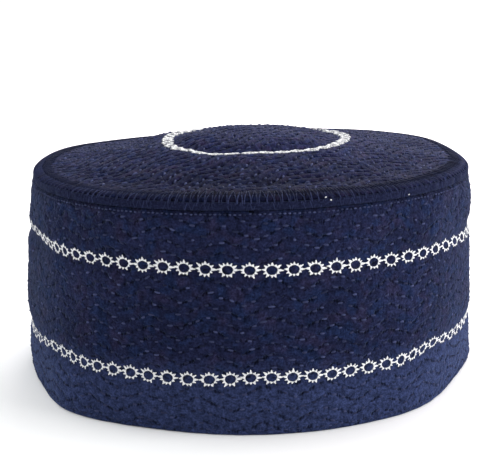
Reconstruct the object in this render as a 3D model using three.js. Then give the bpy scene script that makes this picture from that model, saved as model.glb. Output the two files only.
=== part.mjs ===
// A round quilted cap: a tall soft wall, a narrow welt in the crown seam and a low domed crown.
// Millimetres, Z up. The rim stands on Z = 0 and the origin is the middle of the cap's base.
// Azimuth 0 is the front, at -Y, and azimuth grows towards +X.

import * as THREE from 'three';
import { mergeVertices } from 'three/addons/utils/BufferGeometryUtils.js';

// Driving sizes
const girthRadius = 92.8;
const wallHeight = 83.6;
const crownRise = 14.2;

// Cloth, padded and quilted
const wallThickness = 2.6;
const crownThickness = 2.4;

// The folded strip in the crown seam
const weltHeight = 2.6;
const weltThickness = 2.2;
const weltProud = 0.5;
const weltRounding = 0.6;

// The room between pieces that are sewn to each other
const sewingGap = 0.3;

// The crown's edge: how far it sits back from the seam's radius, and how deep it turns in behind the welt
const crownSetBack = 0.5;
const crownLip = 1.4;

// The folded rim: its flat underside and its rounding
const rimFlat = 1.0;

// The embroidered rows draw the wall in
const lowerRowHeight = 20.8;
const upperRowHeight = 61.0;
const rowPull = 0.7;
const rowPullSpread = 6;

// The ring of embroidery on the crown, set a little to the right of the middle
const ringRadius = 40;
const ringShift = 2.5;
const domeFullness = 1.2;

// How fine the solids are
const stepsAround = 80;
const stepsUpWall = 15;
const stepsInsideWall = 7;
const stepsOverShoulder = 6;
const stepsToRing = 3;
const stepsOverDome = 4;

// The wall's upright profile. height is a share of wallHeight, radius a share of girthRadius.
const wallProfile = [
  { height: 0.0, radius: 1.008 },
  { height: 0.25, radius: 1.004 },
  { height: 0.5, radius: 1.0 },
  { height: 0.75, radius: 0.995 },
  { height: 0.9, radius: 0.992 },
  { height: 1.0, radius: 0.979 },
];

// Soft creases and flats that folding the cap for storage has left, each a smooth swell or hollow.
// azimuth and spread in degrees; rim, middle and seam are shares of girthRadius at those heights.
const creases = [
  { azimuth: -44, spread: 24, rim: 0.034, middle: 0.015, seam: 0.004 },
  { azimuth: -70, spread: 24, rim: -0.018, middle: -0.01, seam: -0.01 },
  { azimuth: -94, spread: 34, rim: -0.008, middle: -0.002, seam: -0.052 },
  { azimuth: -18, spread: 28, rim: -0.006, middle: -0.005, seam: 0.0 },
  { azimuth: 46, spread: 20, rim: 0.01, middle: 0.008, seam: 0.002 },
  { azimuth: 65, spread: 31, rim: -0.034, middle: -0.009, seam: 0.004 },
  { azimuth: 96, spread: 28, rim: 0.016, middle: 0.003, seam: -0.025 },
  { azimuth: 140, spread: 32, rim: 0.008, middle: 0.006, seam: -0.026 },
  { azimuth: -140, spread: 32, rim: 0.008, middle: 0.006, seam: -0.004 },
  { azimuth: 180, spread: 50, rim: -0.008, middle: -0.006, seam: -0.01 },
];

// The crown round the cap. fullness is how far its shoulder swells above its edge, a share of crownRise;
// sink is how far the seam has sunk, a share of wallHeight.
const crownRound = [
  { azimuth: -180, fullness: 0.08, sink: 0.03 },
  { azimuth: -135, fullness: 0.07, sink: 0.03 },
  { azimuth: -90, fullness: 0.1, sink: 0.002 },
  { azimuth: -45, fullness: 0.12, sink: 0.01 },
  { azimuth: 0, fullness: 0.18, sink: 0.0 },
  { azimuth: 45, fullness: 0.13, sink: 0.0 },
  { azimuth: 90, fullness: 0.22, sink: 0.003 },
  { azimuth: 135, fullness: 0.2, sink: 0.007 },
  { azimuth: 180, fullness: 0.08, sink: 0.03 },
];
const meanFullness = 0.1;

// The shoulder's width, as a share of girthRadius, and its roundness: 2 is an ellipse and more is fuller.
const shoulderWidth = 0.18;
const shoulderRoundness = 2.6;
// How far up the ring lies, as a share of crownRise.
const ringLevel = 0.64;
// How much the crown sinks towards the back, as a rise for each millimetre of run.
const crownLean = 0.019;

const degree = Math.PI / 180;

// How far the middle point of a round corner lies from each of its sides, as a share of the rounding.
const cornerShare = 1 - Math.SQRT1_2;

// Reads one column of a table between its rows, on a smooth curve through them.
function readTable(table, key, place, column) {
  let row = 0;
  while (row < table.length - 2 && place > table[row + 1][key]) row += 1;
  const before = table[Math.max(row - 1, 0)];
  const start = table[row];
  const end = table[row + 1];
  const after = table[Math.min(row + 2, table.length - 1)];
  const run = end[key] - start[key];
  const t = THREE.MathUtils.clamp((place - start[key]) / run, 0, 1);
  const slopeAtStart = ((end[column] - before[column]) / (end[key] - before[key])) * run;
  const slopeAtEnd = ((after[column] - start[column]) / (after[key] - start[key])) * run;
  const rise = end[column] - start[column];
  const cube = slopeAtStart + slopeAtEnd - 2 * rise;
  const square = 3 * rise - 2 * slopeAtStart - slopeAtEnd;
  return start[column] + t * (slopeAtStart + t * (square + t * cube));
}

// A smooth swell: 1 at its middle, 0 at its spread on either side.
function swell(distance, spread) {
  const share = Math.min(Math.abs(distance) / spread, 1);
  return 0.5 + 0.5 * Math.cos(Math.PI * share);
}

function turnBetween(first, second) {
  const turn = Math.abs(first - second) % 360;
  return Math.min(turn, 360 - turn);
}

// How far the creases move the cloth outwards at an azimuth and a share of the wall's height.
function creaseOffset(azimuth, heightShare) {
  const share = THREE.MathUtils.clamp(heightShare, 0, 1);
  let offset = 0;
  for (const crease of creases) {
    const weight = swell(turnBetween(azimuth, crease.azimuth), crease.spread);
    const toRim = crease.rim * (1 - share) * (1 - 2 * share);
    const toMiddle = crease.middle * 4 * share * (1 - share);
    const toSeam = crease.seam * share * (2 * share - 1);
    offset += weight * (toRim + toMiddle + toSeam);
  }
  return offset * girthRadius;
}

// How far the cloth has sunk at an azimuth and height, growing from nothing at the rim to the seam.
function sinkOffset(azimuth, height) {
  const share = THREE.MathUtils.clamp(height / wallTop, 0, 1);
  return readTable(crownRound, 'azimuth', azimuth, 'sink') * wallHeight * share * share;
}

// The wall's outer radius at a height, before the creases.
function wallRadius(height) {
  const share = height / wallHeight;
  const pull = swell(height - lowerRowHeight, rowPullSpread) + swell(height - upperRowHeight, rowPullSpread);
  return readTable(wallProfile, 'height', share, 'radius') * girthRadius - rowPull * pull;
}

// Turns a closed outline of radius and height into a solid, then moves each point by place(point, azimuth).
function turnedCloth(outline, place) {
  const onAxis = outline[0].x === 0;
  const profile = onAxis ? [...outline] : [...outline, outline[0]];
  if (THREE.ShapeUtils.isClockWise(outline)) profile.reverse();
  const turned = new THREE.LatheGeometry(profile, stepsAround);
  turned.rotateX(Math.PI / 2);
  turned.deleteAttribute('normal');
  turned.deleteAttribute('uv');
  const geometry = mergeVertices(turned, 0.0001);
  const points = geometry.getAttribute('position');
  const point = new THREE.Vector3();
  for (let index = 0; index < points.count; index += 1) {
    point.fromBufferAttribute(points, index);
    place(point, Math.atan2(point.x, -point.y) / degree);
    points.setXYZ(index, point.x, point.y, point.z);
  }
  geometry.computeVertexNormals();
  return geometry;
}

// Moves a point outwards, away from the cap's axis.
function moveOut(point, offset) {
  const radius = Math.hypot(point.x, point.y);
  if (radius === 0) return;
  const scale = (radius + offset) / radius;
  point.x *= scale;
  point.y *= scale;
}

// The wall: a padded loop of cloth with a rounded rim that stands flat
const wallTop = wallHeight - weltHeight / 2 - sewingGap;
const rimRounding = (wallThickness - rimFlat) / 2;

function sideBand() {
  const outline = [];
  const rimOuter = wallRadius(0);
  outline.push(new THREE.Vector2(rimOuter - rimRounding - rimFlat, 0));
  outline.push(new THREE.Vector2(rimOuter - rimRounding, 0));
  outline.push(new THREE.Vector2(rimOuter - cornerShare * rimRounding, cornerShare * rimRounding));
  for (let step = 0; step <= stepsUpWall; step += 1) {
    const height = THREE.MathUtils.lerp(rimRounding, wallTop, step / stepsUpWall);
    outline.push(new THREE.Vector2(wallRadius(height), height));
  }
  for (let step = stepsInsideWall; step >= 0; step -= 1) {
    const height = THREE.MathUtils.lerp(rimRounding, wallTop, step / stepsInsideWall);
    outline.push(new THREE.Vector2(wallRadius(height) - wallThickness, height));
  }
  return turnedCloth(outline, (point, azimuth) => {
    moveOut(point, creaseOffset(azimuth, point.z / wallTop));
    point.z -= sinkOffset(azimuth, point.z);
  });
}

// The welt: a folded strip that stands a little proud of the wall, between the wall's top and the crown's edge
const seamRadius = wallRadius(wallHeight);
const weltOuter = seamRadius + weltProud;
const weltInner = weltOuter - weltThickness;

function seamWelt() {
  const low = wallHeight - weltHeight / 2;
  const high = wallHeight + weltHeight / 2;
  const corner = cornerShare * weltRounding;
  const outline = [
    new THREE.Vector2(weltInner, low),
    new THREE.Vector2(weltOuter - weltRounding, low),
    new THREE.Vector2(weltOuter - corner, low + corner),
    new THREE.Vector2(weltOuter, low + weltRounding),
    new THREE.Vector2(weltOuter, high - weltRounding),
    new THREE.Vector2(weltOuter - corner, high - corner),
    new THREE.Vector2(weltOuter - weltRounding, high),
    new THREE.Vector2(weltInner, high),
  ];
  return turnedCloth(outline, (point, azimuth) => {
    moveOut(point, creaseOffset(azimuth, 1));
    point.z -= sinkOffset(azimuth, wallTop);
  });
}

// The crown: a low dome whose edge rolls down to the seam and turns in behind the welt
const crownEdgeHeight = wallHeight + weltHeight / 2 + sewingGap;
const crownEdgeRadius = seamRadius - crownSetBack;
const lipOuter = weltInner - sewingGap;
const lipInner = lipOuter - crownThickness;
const shoulderInner = seamRadius - shoulderWidth * girthRadius;
const shoulderHeight = crownEdgeHeight + meanFullness * crownRise;
const ringHeight = wallHeight + ringLevel * crownRise;
const crownTop = wallHeight + crownRise;

// How far a radius has come up the shoulder's rounding: 0 at the crown's edge, 1 at its inner end.
function shoulderShare(radius) {
  const run = THREE.MathUtils.clamp((crownEdgeRadius - radius) / (crownEdgeRadius - shoulderInner), 0, 1);
  return (1 - (1 - run) ** shoulderRoundness) ** (1 / shoulderRoundness);
}

function crownHeight(radius) {
  if (radius > shoulderInner) return THREE.MathUtils.lerp(crownEdgeHeight, shoulderHeight, shoulderShare(radius));
  if (radius > ringRadius) {
    const climb = (shoulderInner - radius) / (shoulderInner - ringRadius);
    return THREE.MathUtils.lerp(shoulderHeight, ringHeight, climb);
  }
  const share = radius / ringRadius;
  return THREE.MathUtils.lerp(crownTop, ringHeight, share) + domeFullness * Math.sin(Math.PI * share);
}

// The share of an uneven form that the crown has at a radius: none on its sewn edge, whole at an inner radius.
function shareInside(radius, wholeRadius) {
  return 1 - swell(THREE.MathUtils.clamp(lipInner - radius, 0, Infinity), lipInner - wholeRadius);
}

// How much more or less the shoulder swells at an azimuth than the mean one, fading out at the ring.
function fullnessOffset(radius, azimuth) {
  const more = readTable(crownRound, 'azimuth', azimuth, 'fullness') - meanFullness;
  const fade = THREE.MathUtils.clamp((radius - ringRadius) / (shoulderInner - ringRadius), 0, 1);
  const reach = radius > shoulderInner ? shoulderShare(radius) : fade;
  return more * crownRise * reach;
}

function crown() {
  const outline = [];
  const lipHeight = crownEdgeHeight - crownLip;
  const radii = [];
  for (let step = 0; step < stepsOverDome; step += 1) radii.push((ringRadius * step) / stepsOverDome);
  for (let step = 0; step < stepsToRing; step += 1) {
    radii.push(THREE.MathUtils.lerp(ringRadius, shoulderInner, step / stepsToRing));
  }
  for (let step = 0; step < stepsOverShoulder; step += 1) {
    const turn = (Math.PI / 2) * (step / stepsOverShoulder);
    radii.push(THREE.MathUtils.lerp(shoulderInner, crownEdgeRadius, Math.sin(turn)));
  }
  for (const radius of radii) outline.push(new THREE.Vector2(radius, crownHeight(radius)));
  outline.push(new THREE.Vector2(crownEdgeRadius, crownEdgeHeight));
  outline.push(new THREE.Vector2(lipOuter, crownEdgeHeight));
  outline.push(new THREE.Vector2(lipOuter, lipHeight));
  outline.push(new THREE.Vector2(lipInner, lipHeight));
  for (const radius of radii.reverse()) {
    if (radius < lipInner - crownThickness / 2) {
      outline.push(new THREE.Vector2(radius, crownHeight(radius) - crownThickness));
    }
  }
  return turnedCloth(outline, (point, azimuth) => {
    const radius = Math.hypot(point.x, point.y);
    const inner = shareInside(radius, ringRadius);
    const sewn = radius > lipInner - 0.001 && point.z < crownEdgeHeight + 0.001;
    if (!sewn) point.z += fullnessOffset(radius, azimuth);
    point.z -= crownLean * point.y * inner;
    point.z -= sinkOffset(azimuth, wallTop) * (1 - inner);
    moveOut(point, creaseOffset(azimuth, 1) * (1 - inner));
    point.x += ringShift * inner;
  });
}

function piece(name, geometry, colour, roughness) {
  const material = new THREE.MeshStandardMaterial({ color: colour, roughness, metalness: 0 });
  const mesh = new THREE.Mesh(geometry, material);
  mesh.name = name;
  return mesh;
}

const cap = new THREE.Group();
cap.add(piece('side_band', sideBand(), 0x262b42, 0.92));
cap.add(piece('seam_welt', seamWelt(), 0x20243a, 0.94));
cap.add(piece('crown', crown(), 0x2f334a, 0.92));

// The origin goes to the middle of the base, since the creases make the plan uneven
const base = new THREE.Box3().setFromObject(cap);
cap.position.set(-(base.min.x + base.max.x) / 2, -(base.min.y + base.max.y) / 2, 0);

export default cap;
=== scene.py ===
import math

import bmesh
import bpy
import numpy as np
from mathutils import Matrix


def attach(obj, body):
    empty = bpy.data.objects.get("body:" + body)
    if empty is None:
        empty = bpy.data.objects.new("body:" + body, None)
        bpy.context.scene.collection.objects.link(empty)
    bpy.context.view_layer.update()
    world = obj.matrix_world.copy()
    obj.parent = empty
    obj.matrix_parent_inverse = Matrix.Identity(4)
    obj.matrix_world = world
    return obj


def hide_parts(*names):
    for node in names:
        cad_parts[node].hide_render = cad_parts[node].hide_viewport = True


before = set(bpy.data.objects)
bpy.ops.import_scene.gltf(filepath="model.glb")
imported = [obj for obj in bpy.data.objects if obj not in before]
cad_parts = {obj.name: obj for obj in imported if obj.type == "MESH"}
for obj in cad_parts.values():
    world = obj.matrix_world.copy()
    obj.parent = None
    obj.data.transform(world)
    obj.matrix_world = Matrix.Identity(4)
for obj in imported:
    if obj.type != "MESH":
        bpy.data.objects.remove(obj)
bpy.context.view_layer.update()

# The wall
# A tall loop of navy cotton over thin padding, quilted by machine in zigzag rows of running stitch. It is
# closed by one plain upright seam at the back, and its rim is folded under. Millimetres and degrees here:
# azimuth 0 is the front, and it grows towards the wearer's left, at +X.
millimetre = 0.001
girth_radius = 92.8
wall_height = 83.6
wall_thickness = 2.6
welt_height = 2.6
sewing_gap = 0.3
wall_top = wall_height - welt_height / 2 - sewing_gap
rim_flat = 1.0
rim_rounding = (wall_thickness - rim_flat) / 2
lower_row_height = 20.8
upper_row_height = 61.0
row_heights = (lower_row_height, upper_row_height)
row_pull = 0.7
row_pull_spread = 6
# How far round the embroidery the cloth is drawn flat
embroidery_reach = 4.4
# The cap's axis stands a little off the middle of its uneven plan.
axis_across = -0.747
axis_back = 0.288

# Height and radius, as shares of the wall's height and of the girth's radius
wall_profile = [(0.0, 1.008), (0.25, 1.004), (0.5, 1.0), (0.75, 0.995), (0.9, 0.992), (1.0, 0.979)]

# Soft creases and flats left by storage: azimuth, spread, and how far out at the rim, middle and seam, as
# shares of the girth's radius
creases = [
    (-44, 24, 0.034, 0.015, 0.004),
    (-70, 24, -0.018, -0.01, -0.01),
    (-94, 34, -0.008, -0.002, -0.052),
    (-18, 28, -0.006, -0.005, 0.0),
    (46, 20, 0.01, 0.008, 0.002),
    (65, 31, -0.034, -0.009, 0.004),
    (96, 28, 0.016, 0.003, -0.025),
    (140, 32, 0.008, 0.006, -0.026),
    (-140, 32, 0.008, 0.006, -0.004),
    (180, 50, -0.008, -0.006, -0.01),
]

# How far the seam has sunk round the cap: azimuth, and a share of the wall's height
seam_sink = [
    (-180, 0.03), (-135, 0.03), (-90, 0.002), (-45, 0.01), (0, 0.0),
    (45, 0.0), (90, 0.003), (135, 0.007), (180, 0.03),
]


def read_table(rows, place):
    """Reads a table of (place, value) rows on a smooth curve through them."""
    keys, values = np.array(rows, float).T
    place = np.asarray(place, float)
    row = np.clip(np.searchsorted(keys, place, side="right") - 1, 0, len(rows) - 2)
    before = np.maximum(row - 1, 0)
    after = np.minimum(row + 2, len(rows) - 1)
    run = keys[row + 1] - keys[row]
    share = np.clip((place - keys[row]) / run, 0, 1)
    slope_in = (values[row + 1] - values[before]) / (keys[row + 1] - keys[before]) * run
    slope_out = (values[after] - values[row]) / (keys[after] - keys[row]) * run
    rise = values[row + 1] - values[row]
    cube = slope_in + slope_out - 2 * rise
    square = 3 * rise - 2 * slope_in - slope_out
    return values[row] + share * (slope_in + share * (square + share * cube))


def swell(distance, spread):
    """A smooth swell: 1 at its middle, 0 at its spread on either side."""
    return 0.5 + 0.5 * np.cos(np.pi * np.minimum(np.abs(distance) / spread, 1))


def turn_between(first, second):
    """The smaller angle between two azimuths."""
    turn = np.abs(first - second) % 360
    return np.minimum(turn, 360 - turn)


def crease_offset(azimuth, height_share):
    """How far the creases move the cloth outwards."""
    share = np.clip(height_share, 0, 1)
    offset = 0.0
    for middle_azimuth, spread, rim, middle, seam in creases:
        weight = swell(turn_between(azimuth, middle_azimuth), spread)
        to_rim = rim * (1 - share) * (1 - 2 * share)
        to_middle = middle * 4 * share * (1 - share)
        to_seam = seam * share * (2 * share - 1)
        offset = offset + weight * (to_rim + to_middle + to_seam)
    return offset * girth_radius


def sink_offset(azimuth, height):
    """How far the wall has sunk at a height: nothing at the rim, most at the seam."""
    share = np.clip(height / wall_top, 0, 1)
    return read_table(seam_sink, azimuth) * wall_height * share * share


def wall_radius(height):
    """The even wall's radius at a height. The embroidered rows draw it in."""
    pull = sum(swell(height - row_height, row_pull_spread) for row_height in row_heights)
    return read_table(wall_profile, height / wall_height) * girth_radius - row_pull * pull


def turned_place(azimuth, radius, height, across=0.0):
    """The point, in millimetres, at an azimuth, radius and height about the cap's axis."""
    turn = np.radians(azimuth)
    x = axis_across + across + radius * np.sin(turn)
    y = axis_back - radius * np.cos(turn)
    return np.stack([x, y, height + 0 * x], axis=-1)


# The quilting: zigzag rows of running stitch. A place on it is counted along in stitches and up in rows.
stitch_pitch = 3.733
row_pitch = 4.62
stitches_to_a_leg = 3
zigzag_rise = 1.5
row_stagger = -1.0
pit_place = 1.35
# Each band between the embroidered rows was quilted on its own: its top, and where its pattern starts round
# and up
quilted_bands = [(lower_row_height, 16.5, 5.0), (upper_row_height, 20.0, 2.5), (90.0, 3.1, 7.37)]
# Lengths along the wall are measured on a circle of this radius.
arc_radius = 92.3
arc_round = 2 * np.pi * arc_radius


def arc_at(azimuth):
    """How far round the wall an azimuth is from the front, in millimetres."""
    return np.radians(azimuth) * arc_radius


def azimuth_at(arc):
    return np.degrees(arc / arc_radius)


def unevenness(first, second, size, seed, first_period=None):
    """Smooth chance waves of about one size over two millimetre coordinates, mostly within -1 to 1."""
    chance = np.random.default_rng(seed)
    total = 0.0
    waves = 16
    for _ in range(waves):
        heading = chance.uniform(0, 2 * np.pi)
        length = size * chance.uniform(0.75, 1.35)
        shift = chance.uniform(0, 2 * np.pi)
        rate_first = 2 * np.pi * np.cos(heading) / length
        rate_second = 2 * np.pi * np.sin(heading) / length
        if first_period:
            rate_first = 2 * np.pi * np.round(rate_first * first_period / (2 * np.pi)) / first_period
        total = total + np.sin(first * rate_first + second * rate_second + shift)
    return total / math.sqrt(waves)


def quilting_wander(first, second, first_period=None):
    """How far the hand-fed quilting strays along and up, in millimetres, at two coordinates on the cloth."""
    slid = 0.5 * unevenness(first, second, 17, 61, first_period)
    return slid, 0.42 * unevenness(first, second, 11, 62, first_period)


def wall_quilting(azimuth, height, sorting=None):
    """Where a point of the wall lies in the quilting: stitches along and rows up. Its height sorts it into a
    band, or else another height given for that."""
    sorting = height if sorting is None else sorting
    along = np.zeros(np.broadcast(azimuth, height).shape)
    up = np.zeros_like(along)
    done = np.zeros(along.shape, bool)
    arc = arc_at(azimuth)
    slid, lifted = quilting_wander(arc, height, arc_round)
    for top, start, level in quilted_bands:
        inside = (sorting < top) & ~done
        along = np.where(inside, (arc - slid - start) / stitch_pitch, along)
        up = np.where(inside, (height - lifted - level) / row_pitch, up)
        done = done | inside
    return along, up


def zigzag(along):
    """How many rows a zigzag row has climbed at a place along it."""
    leg = stitches_to_a_leg
    return zigzag_rise / row_pitch * (leg - np.abs(along % (2 * leg) - leg))


def quilt_relief(along, up):
    """How far the stitches draw the padded cloth in, in millimetres."""
    level = up - zigzag(along)
    row = np.round(level)
    off_row = (level - row) * row_pitch
    place = along - row_stagger / stitch_pitch * (row % 2)
    off_stitch = np.abs(place - np.round(place)) * stitch_pitch
    channel = np.exp(-((off_row / 1.2) ** 2))
    pit = np.exp(-((off_row**2 + (off_stitch - pit_place) ** 2) / 0.8**2))
    return 0.1 - 0.12 * channel - 0.2 * pit


back_seam_reach = 2.6


def wall_relief(azimuth, height):
    """How far the outer cloth stands off the padded wall's even surface."""
    arc = arc_at(azimuth)
    near_row = sum(swell(height - row_height, embroidery_reach) for row_height in row_heights)
    near_edge = swell(height - wall_top, 3.0) + swell(height, 2.5)
    from_seam = arc_at(turn_between(azimuth, 180.0))
    valley = swell(from_seam, back_seam_reach)
    quilted = np.clip(1 - near_row - near_edge, 0, 1) * (1 - valley)
    strength = 0.9 + 0.25 * unevenness(arc, height, 34, 11, arc_round)
    relief = quilt_relief(*wall_quilting(azimuth, height)) * quilted * strength
    # Broad hollows, then puckers, then the finest unevenness
    relief = relief + 0.32 * unevenness(arc, height, 30, 12, arc_round) * (1 - 0.6 * near_edge)
    relief = relief + 0.12 * unevenness(arc, height, 9, 13, arc_round)
    relief = relief + 0.06 * unevenness(arc, height, 4, 14, arc_round) * quilted
    relief = relief - 0.25 * near_row
    return relief - 0.9 * valley + 0.25 * swell(from_seam - 1.6 * back_seam_reach, back_seam_reach)


def wall_point(azimuth, height, out=0.0, dressed=True):
    """A point on the wall's outer cloth, in millimetres, moved out by a distance."""
    radius = wall_radius(height) + crease_offset(azimuth, height / wall_top) + out
    if dressed:
        radius = radius + wall_relief(azimuth, height)
    return turned_place(azimuth, radius, height - sink_offset(azimuth, height))


spin_sectors = 12


def in_scene(name, data):
    """Puts a mesh, lamp or camera in the scene."""
    thing = bpy.data.objects.new(name, data)
    bpy.context.scene.collection.objects.link(thing)
    return thing


def spun_cloth(name, outline, steps):
    """Spins an outline of (radius, height) about the axis, from the back round to the back."""
    mesh_maker = bmesh.new()
    corners = [mesh_maker.verts.new((0.0, radius, height)) for radius, height in outline]
    edges = [mesh_maker.edges.new(pair) for pair in zip(corners, corners[1:])]
    if outline[0][0] > 0:
        edges.append(mesh_maker.edges.new((corners[-1], corners[0])))
    # One sector is spun in small steps, then copied round the axis.
    sector = 2 * math.pi / spin_sectors
    sector_steps = steps // spin_sectors
    bmesh.ops.spin(mesh_maker, geom=corners + edges, axis=(0, 0, 1), angle=sector, steps=sector_steps)
    whole = mesh_maker.verts[:] + mesh_maker.edges[:] + mesh_maker.faces[:]
    rest = 2 * math.pi - sector
    copies = spin_sectors - 1
    bmesh.ops.spin(mesh_maker, geom=whole, axis=(0, 0, 1), angle=rest, steps=copies, use_duplicate=True)
    bmesh.ops.remove_doubles(mesh_maker, verts=mesh_maker.verts, dist=0.01)
    bmesh.ops.recalc_face_normals(mesh_maker, faces=mesh_maker.faces)
    mesh = bpy.data.meshes.new(name)
    mesh_maker.to_mesh(mesh)
    mesh_maker.free()
    return in_scene(name, mesh)


def spun_places(mesh):
    """The azimuths, heights and radii of a spun mesh's points, and the points, in millimetres."""
    points = np.empty(len(mesh.vertices) * 3)
    mesh.vertices.foreach_get("co", points)
    points = points.reshape(-1, 3)
    azimuth = np.degrees(np.arctan2(points[:, 0], -points[:, 1]))
    return azimuth, points[:, 2], np.hypot(points[:, 0], points[:, 1]), points


def finish_cloth(piece, points, maps):
    """Moves a piece's points, in millimetres, to their places and gives it its UV maps, one row a corner."""
    mesh = piece.data
    mesh.vertices.foreach_set("co", (points * millimetre).ravel())
    for map_name, corners in maps.items():
        layer = mesh.uv_layers.new(name=map_name)
        layer.data.foreach_set("uv", np.ascontiguousarray(corners, float).ravel())
    mesh.polygons.foreach_set("use_smooth", np.ones(len(mesh.polygons), bool))
    mesh.update()


def keep_look(piece, wear_and_floor_light, tone):
    """Keeps how faded the cloth is at each point, where 0 is as new, and how light, where 1 is plain. The
    fade near the wall's rim is partly painted light from the floor, and the lightness is painted shade.
    """
    for name, values in (("wear_and_floor_light", wear_and_floor_light), ("tone", tone)):
        layer = piece.data.attributes.new(name, "FLOAT", "POINT")
        layer.data.foreach_set("value", np.ascontiguousarray(values, float))


def corner_azimuths(mesh, azimuth):
    """The point and azimuth at each face corner, and each face's first corner and number of corners. The
    azimuths are kept whole over the faces that close the ring at the back."""
    corner = np.empty(len(mesh.loops), int)
    mesh.loops.foreach_get("vertex_index", corner)
    start = np.empty(len(mesh.polygons), int)
    count = np.empty(len(mesh.polygons), int)
    mesh.polygons.foreach_get("loop_start", start)
    mesh.polygons.foreach_get("loop_total", count)
    turned = azimuth[corner]
    widest = np.maximum.reduceat(turned, start)
    least = np.minimum.reduceat(turned, start)
    closing = np.repeat(widest - least > 180, count)
    return corner, np.where(closing & (turned < 0), turned + 360, turned), start, count


wall_steps = 780
levels_outside = 100
levels_inside = 9
rim_outer = float(wall_radius(0.0))
top_outer = float(wall_radius(wall_top))
wall_outline = [(rim_outer - rim_rounding - rim_flat, 0.0), (rim_outer - rim_rounding, 0.0)]
wall_outline.append((rim_outer - 0.3 * rim_rounding, 0.3 * rim_rounding))
for level in range(levels_outside + 1):
    height = rim_rounding + (wall_top - 0.5 - rim_rounding) * level / levels_outside
    wall_outline.append((float(wall_radius(height)), height))
wall_outline += [(top_outer - 0.4, wall_top + 0.1), (top_outer - 1.2, wall_top + 0.3)]
for level in range(levels_inside, -1, -1):
    height = rim_rounding + (wall_top - rim_rounding) * level / levels_inside
    wall_outline.append((float(wall_radius(height)) - wall_thickness, height))

wall = spun_cloth("quilted_wall", wall_outline, wall_steps)
azimuth, height, radius, _ = spun_places(wall.data)
depth = wall_radius(height) - radius
outside = 1 - np.clip(depth, 0, 1)
moved = radius + crease_offset(azimuth, height / wall_top) + wall_relief(azimuth, height) * outside
# Inside, the seam's pressed allowances stand up on either side of it.
allowance = swell(arc_at(turn_between(azimuth, 180.0)) - 4.0, 5.0)
moved = moved - 0.8 * allowance * (depth > 2.0)
points = turned_place(azimuth, moved, height - sink_offset(azimuth, height))
corner, turned, start, count = corner_azimuths(wall.data, azimuth)
face_level = np.repeat(np.add.reduceat(height[corner], start) / count, count)
arc_map = np.stack([arc_at(turned), height[corner]], axis=-1)
quilt_map = np.stack(wall_quilting(turned, height[corner], face_level), axis=-1)
finish_cloth(wall, points, {"cloth": arc_map, "quilting": quilt_map})
# Hands have faded the wall near its rim, and it is painted lighter there too, as light thrown up from the
# floor; its top edge lies in the welt's shade, painted darker.
near_rim_fade_and_floor_light = 1 - np.clip((height - 15) / 14, 0, 1)
keep_look(wall, near_rim_fade_and_floor_light, 1 - 0.3 * np.clip((height - wall_top + 2.4) / 1.5, 0, 1))


class Workbench:
    """Places nodes in one tree and joins them."""

    def __init__(self, tree):
        self.tree = tree

    def fill(self, node, fed):
        """Feeds a node's sockets, by place or name, with values or from other sockets."""
        for socket, value in fed.items():
            if isinstance(value, bpy.types.NodeSocket):
                self.tree.links.new(value, node.inputs[socket])
            else:
                node.inputs[socket].default_value = value

    def add(self, kind, fed, **settings):
        node = self.tree.nodes.new(kind)
        for key, value in settings.items():
            setattr(node, key, value)
        self.fill(node, fed)
        return node

    def sum(self, operation, *values):
        return self.add("ShaderNodeMath", dict(enumerate(values)), operation=operation).outputs[0]

    def times(self, first, second):
        return self.sum("MULTIPLY", first, second)

    def fade(self, value, low, high, to_low=0.0, to_high=1.0):
        fed = dict(enumerate((value, low, high, to_low, to_high)))
        return self.add("ShaderNodeMapRange", fed, interpolation_type="SMOOTHSTEP").outputs[0]

    def mix(self, share, first, second):
        return self.add("ShaderNodeMix", {0: share, 6: first, 7: second}, data_type="RGBA").outputs[2]

    def dim(self, colour, share):
        return self.add("ShaderNodeVectorMath", {0: colour, "Scale": share}, operation="SCALE").outputs[0]

    def split(self, place):
        return self.add("ShaderNodeSeparateXYZ", {0: place}).outputs

    def mapped(self, name):
        return self.add("ShaderNodeUVMap", {}, uv_map=name).outputs[0]

    def kept(self, name):
        return self.add("ShaderNodeAttribute", {}, attribute_name=name).outputs["Fac"]

    def noise(self, place, scale, detail=2.0, roughness=0.5):
        fed = {"Vector": place, "Scale": scale, "Detail": detail, "Roughness": roughness}
        return self.add("ShaderNodeTexNoise", fed).outputs["Fac"]

    def bump(self, height, distance, strength, below=None):
        fed = {"Height": height, "Distance": distance, "Strength": strength}
        if below is not None:
            fed["Normal"] = below
        return self.add("ShaderNodeBump", fed).outputs["Normal"]


def new_group(name, inputs, output):
    """A shader node group: inputs as (name, type), and the name of its one output, a number."""
    group = bpy.data.node_groups.new(name, "ShaderNodeTree")
    for socket_name, kind in inputs:
        group.interface.new_socket(name=socket_name, in_out="INPUT", socket_type=kind)
    group.interface.new_socket(name=output, in_out="OUTPUT", socket_type="NodeSocketFloat")
    taken = group.nodes.new("NodeGroupInput")
    given = group.nodes.new("NodeGroupOutput")
    return group, Workbench(group), taken.outputs, given


# Plain weave: warp and weft pass over each other, one thread every pitch, with small thick and thin places.
weave_inputs = [("Place", "NodeSocketVector"), ("Pitch", "NodeSocketFloat")]
weave, bench, taken, given = new_group("plain_weave", weave_inputs, "Height")
slub = bench.noise(taken["Place"], 0.9)
wander = bench.times(bench.sum("SUBTRACT", slub, 0.5), 0.5)
waves = []
for run in bench.split(taken["Place"])[:2]:
    threads = bench.sum("DIVIDE", bench.sum("ADD", run, wander), taken["Pitch"])
    waves.append(bench.sum("SINE", bench.times(threads, math.pi)))
over = bench.times(waves[0], waves[1])
rounds = bench.times(bench.sum("ABSOLUTE", waves[0]), bench.sum("ABSOLUTE", waves[1]))
bench.fill(given, {"Height": bench.sum("ADD", bench.times(over, 0.35), rounds)})

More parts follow.
